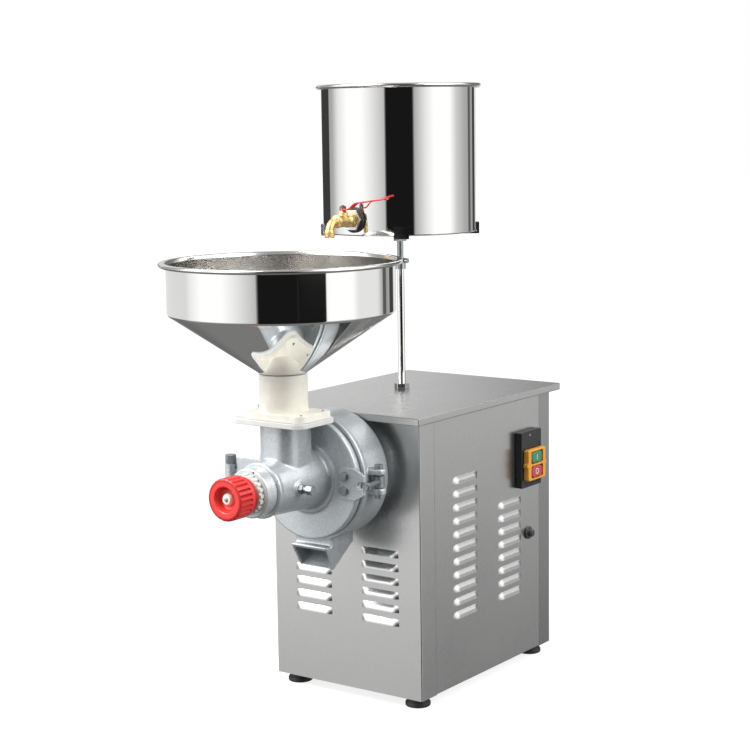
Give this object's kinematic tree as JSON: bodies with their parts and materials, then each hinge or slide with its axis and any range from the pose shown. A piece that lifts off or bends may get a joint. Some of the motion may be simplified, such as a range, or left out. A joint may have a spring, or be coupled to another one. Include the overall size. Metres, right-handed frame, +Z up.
{
  "type": "nut butter grinder",
  "caption": "Stone mill on a louvred cabinet with side door and switch, hinged grinding head with adjuster wheel, feed hopper, and a water tank with tap on a post.",
  "frame": {"origin": "middle of the bounding box in plan, on the floor under the feet", "axes": "+X towards the side with the switch and the side door, +Y to the back of the cabinet, +Z up; the grinding head points along -Y"},
  "size_m": [0.3602, 0.7389, 0.9681],
  "materials": {
    "cabinet_steel": "satin stainless sheet",
    "polished_steel": "mirror-polished stainless sheet",
    "plain_steel": "plain bright steel",
    "painted_casting": "hammertone grey paint on a casting",
    "grindstone": "rough bonded stone",
    "cast_iron": "machined iron",
    "motor_enamel": "satin enamel",
    "cream_plastic": "smooth cream",
    "red_plastic": "glossy red",
    "green_plastic": "glossy green",
    "yellow_plastic": "glossy yellow",
    "black_plastic": "satin black",
    "black_rubber": "matt black",
    "tap_brass": "polished cast brass",
    "red_coating": "red dipped coating on steel"
  },
  "bodies": {
    "cabinet": {"base_plate": "cabinet_steel", "front_panel": "cabinet_steel", "left_panel": "cabinet_steel", "rear_panel": "cabinet_steel", "top_lid": "cabinet_steel", "foot_1": "black_rubber", "foot_2": "black_rubber", "foot_3": "black_rubber", "foot_4": "black_rubber", "door_hinge": "plain_steel", "cable_gland": "black_plastic", "motor": "motor_enamel", "drive_belt": "black_rubber", "bearing_block": "painted_casting", "rear_housing": "painted_casting", "chamber_gasket": "black_rubber", "hinge_bracket": "painted_casting", "hinge_pin": "plain_steel", "latch_pin": "plain_steel", "post_nut": "plain_steel", "post_tube": "plain_steel", "post_collar": "plain_steel"},
    "spindle": {"spindle": "plain_steel", "spindle_pulley": "cast_iron", "rotor_stone": "grindstone", "feed_screw": "plain_steel"},
    "motor_rotor": {"motor_shaft": "plain_steel", "motor_pulley": "cast_iron"},
    "cover": {"front_cover": "painted_casting", "stator_stone": "grindstone", "hinge_leaf": "painted_casting", "hinge_bolt_1": "plain_steel", "hinge_bolt_2": "plain_steel", "clamp_plate": "painted_casting", "clamp_bolt_1": "plain_steel", "clamp_bolt_2": "plain_steel", "side_lock_bolt": "plain_steel", "side_lock_nut": "plain_steel", "adjuster_sleeve": "painted_casting", "feed_spout": "cream_plastic"},
    "latch": {"swing_bolt": "plain_steel"},
    "latch_nut": {"latch_nut": "plain_steel"},
    "adjuster_pin": {"thrust_pin": "plain_steel"},
    "handwheel": {"handwheel": "red_plastic"},
    "lock_ring": {"lock_ring": "plain_steel"},
    "hopper": {"hopper": "polished_steel"},
    "door": {"side_door": "cabinet_steel", "switch_box": "black_plastic", "switch_guard": "yellow_plastic"},
    "door_lock": {"door_lock": "black_plastic"},
    "start_button": {"start_button": "green_plastic"},
    "stop_button": {"stop_button": "red_plastic"},
    "post_rod": {"post_rod": "plain_steel"},
    "clamp_screw": {"clamp_screw": "plain_steel"},
    "cradle": {"tank_cradle": "plain_steel"},
    "tank": {"tank": "polished_steel", "tap_washer": "black_rubber", "tap_nut": "plain_steel", "tap_body": "tap_brass"},
    "tap_lever": {"tap_lever": "red_coating"}
  },
  "joints": [
    {"name": "spindle_spin", "type": "hinge", "parent": "cabinet", "child": "spindle", "pos_m": [0, -0.0331, 0.375], "axis": [0, 1, 0], "continuous": true},
    {"name": "motor_spin", "type": "hinge", "parent": "cabinet", "child": "motor_rotor", "pos_m": [0, 0.0619, 0.0903], "axis": [0, 1, 0], "continuous": true},
    {"name": "cover_swing", "type": "hinge", "parent": "cabinet", "child": "cover", "pos_m": [-0.145, -0.1441, 0.375], "axis": [0, 0, 1], "range_deg": [-110, 0]},
    {"name": "latch_swing", "type": "hinge", "parent": "cabinet", "child": "latch", "pos_m": [0.11, -0.1031, 0.375], "axis": [0, 0, 1], "range_deg": [-13, 75]},
    {"name": "latch_nut_turn", "type": "hinge", "parent": "latch", "child": "latch_nut", "pos_m": [0.11, -0.1031, 0.375], "axis": [0.225, -0.9744, 0], "continuous": true},
    {"name": "thrust_slide", "type": "slide", "parent": "cover", "child": "adjuster_pin", "axis": [0, 1, 0], "range_m": [-0.00075, 0.00075]},
    {"name": "handwheel_turn", "type": "hinge", "parent": "adjuster_pin", "child": "handwheel", "pos_m": [0, -0.2899, 0.375], "axis": [0, 1, 0], "range_deg": [-180, 180]},
    {"name": "lock_ring_turn", "type": "hinge", "parent": "cover", "child": "lock_ring", "pos_m": [0, -0.2764, 0.375], "axis": [0, 1, 0], "range_deg": [-90, 0]},
    {"name": "hopper_lift", "type": "slide", "parent": "cover", "child": "hopper", "axis": [0, 0, 1], "range_m": [0, 0.015]},
    {"name": "door_swing", "type": "hinge", "parent": "cabinet", "child": "door", "pos_m": [0.13585, 0.0069, 0.235], "axis": [0, 0, 1], "range_deg": [-100, 0]},
    {"name": "door_lock_turn", "type": "hinge", "parent": "door", "child": "door_lock", "pos_m": [0.1366, 0.2855, 0.222], "axis": [1, 0, 0], "range_deg": [0, 90]},
    {"name": "start_press", "type": "slide", "parent": "door", "child": "start_button", "axis": [-1, 0, 0], "range_m": [0, 0.003], "stiffness_N_per_m": 400},
    {"name": "stop_press", "type": "slide", "parent": "door", "child": "stop_button", "axis": [-1, 0, 0], "range_m": [0, 0.003], "stiffness_N_per_m": 400},
    {"name": "post_height", "type": "slide", "parent": "cabinet", "child": "post_rod", "axis": [0, 0, 1], "range_m": [0, 0.06]},
    {"name": "clamp_screw_turn", "type": "hinge", "parent": "cabinet", "child": "clamp_screw", "pos_m": [-0.045, 0.1819, 0.6802], "axis": [1, 0, 0], "range_deg": [0, 180]},
    {"name": "cradle_swivel", "type": "hinge", "parent": "post_rod", "child": "cradle", "pos_m": [-0.045, 0.1819, 0.724], "axis": [0, 0, 1], "range_deg": [-90, 90]},
    {"name": "tank_lift", "type": "slide", "parent": "cradle", "child": "tank", "axis": [0, 0, 1], "range_m": [0, 0.1]},
    {"name": "tap_lever_turn", "type": "hinge", "parent": "tank", "child": "tap_lever", "pos_m": [-0.045, 0.0257, 0.774], "axis": [0, 0, 1], "range_deg": [-90, 0]}
  ],
  "couplings": [
    {"joint": "motor_spin", "follows": "spindle_spin", "ratio": 1.495},
    {"joint": "handwheel_turn", "follows": "thrust_slide", "rad_per_m": 4188.8}
  ]
}
